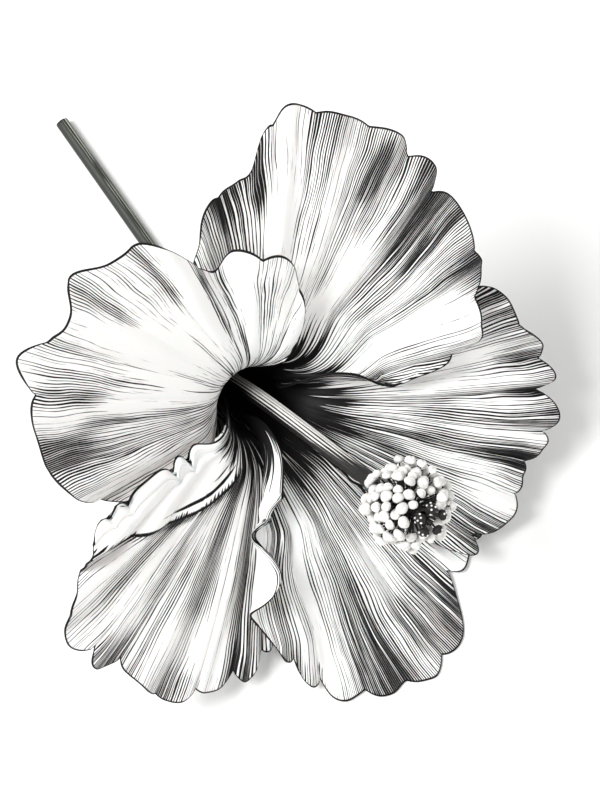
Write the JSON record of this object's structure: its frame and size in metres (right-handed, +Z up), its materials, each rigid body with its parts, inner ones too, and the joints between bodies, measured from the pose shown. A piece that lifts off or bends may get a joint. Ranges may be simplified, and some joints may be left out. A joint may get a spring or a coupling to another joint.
{
  "type": "hibiscus flower",
  "caption": "Single hibiscus flower with wide lapped petals, a long leaning column with a ball of anthers, a toothed calyx and a bare stem, lying on a table.",
  "frame": {"origin": "centre of the footprint of the lying flower, on the table's surface", "axes": "+Z up from the table, -Y the way that the flower looks, with its stem at the back towards -X +Y"},
  "size_m": [0.1095, 0.1366, 0.0772],
  "materials": {
    "petal": "thin satin petal, ivory white with dark branching veins and a near-black eye",
    "column": "pale satin tube with dark lines along it, and white anthers",
    "stigma": "velvety near-black with white grains",
    "calyx": "matt, finely ribbed grey-green",
    "pedicel": "matt grey-green stem with a fresh cut"
  },
  "bodies": {
    "root": {"petal_top": "petal", "petal_right": "petal", "petal_lower_right": "petal", "petal_lower_left": "petal", "petal_left": "petal", "staminal_column": "column", "pistil": "stigma", "calyx": "calyx", "bracteole_1": "calyx", "bracteole_2": "calyx", "bracteole_3": "calyx", "bracteole_4": "calyx", "bracteole_5": "calyx", "bracteole_6": "calyx", "bracteole_7": "calyx", "pedicel": "pedicel"}
  },
  "joints": []
}
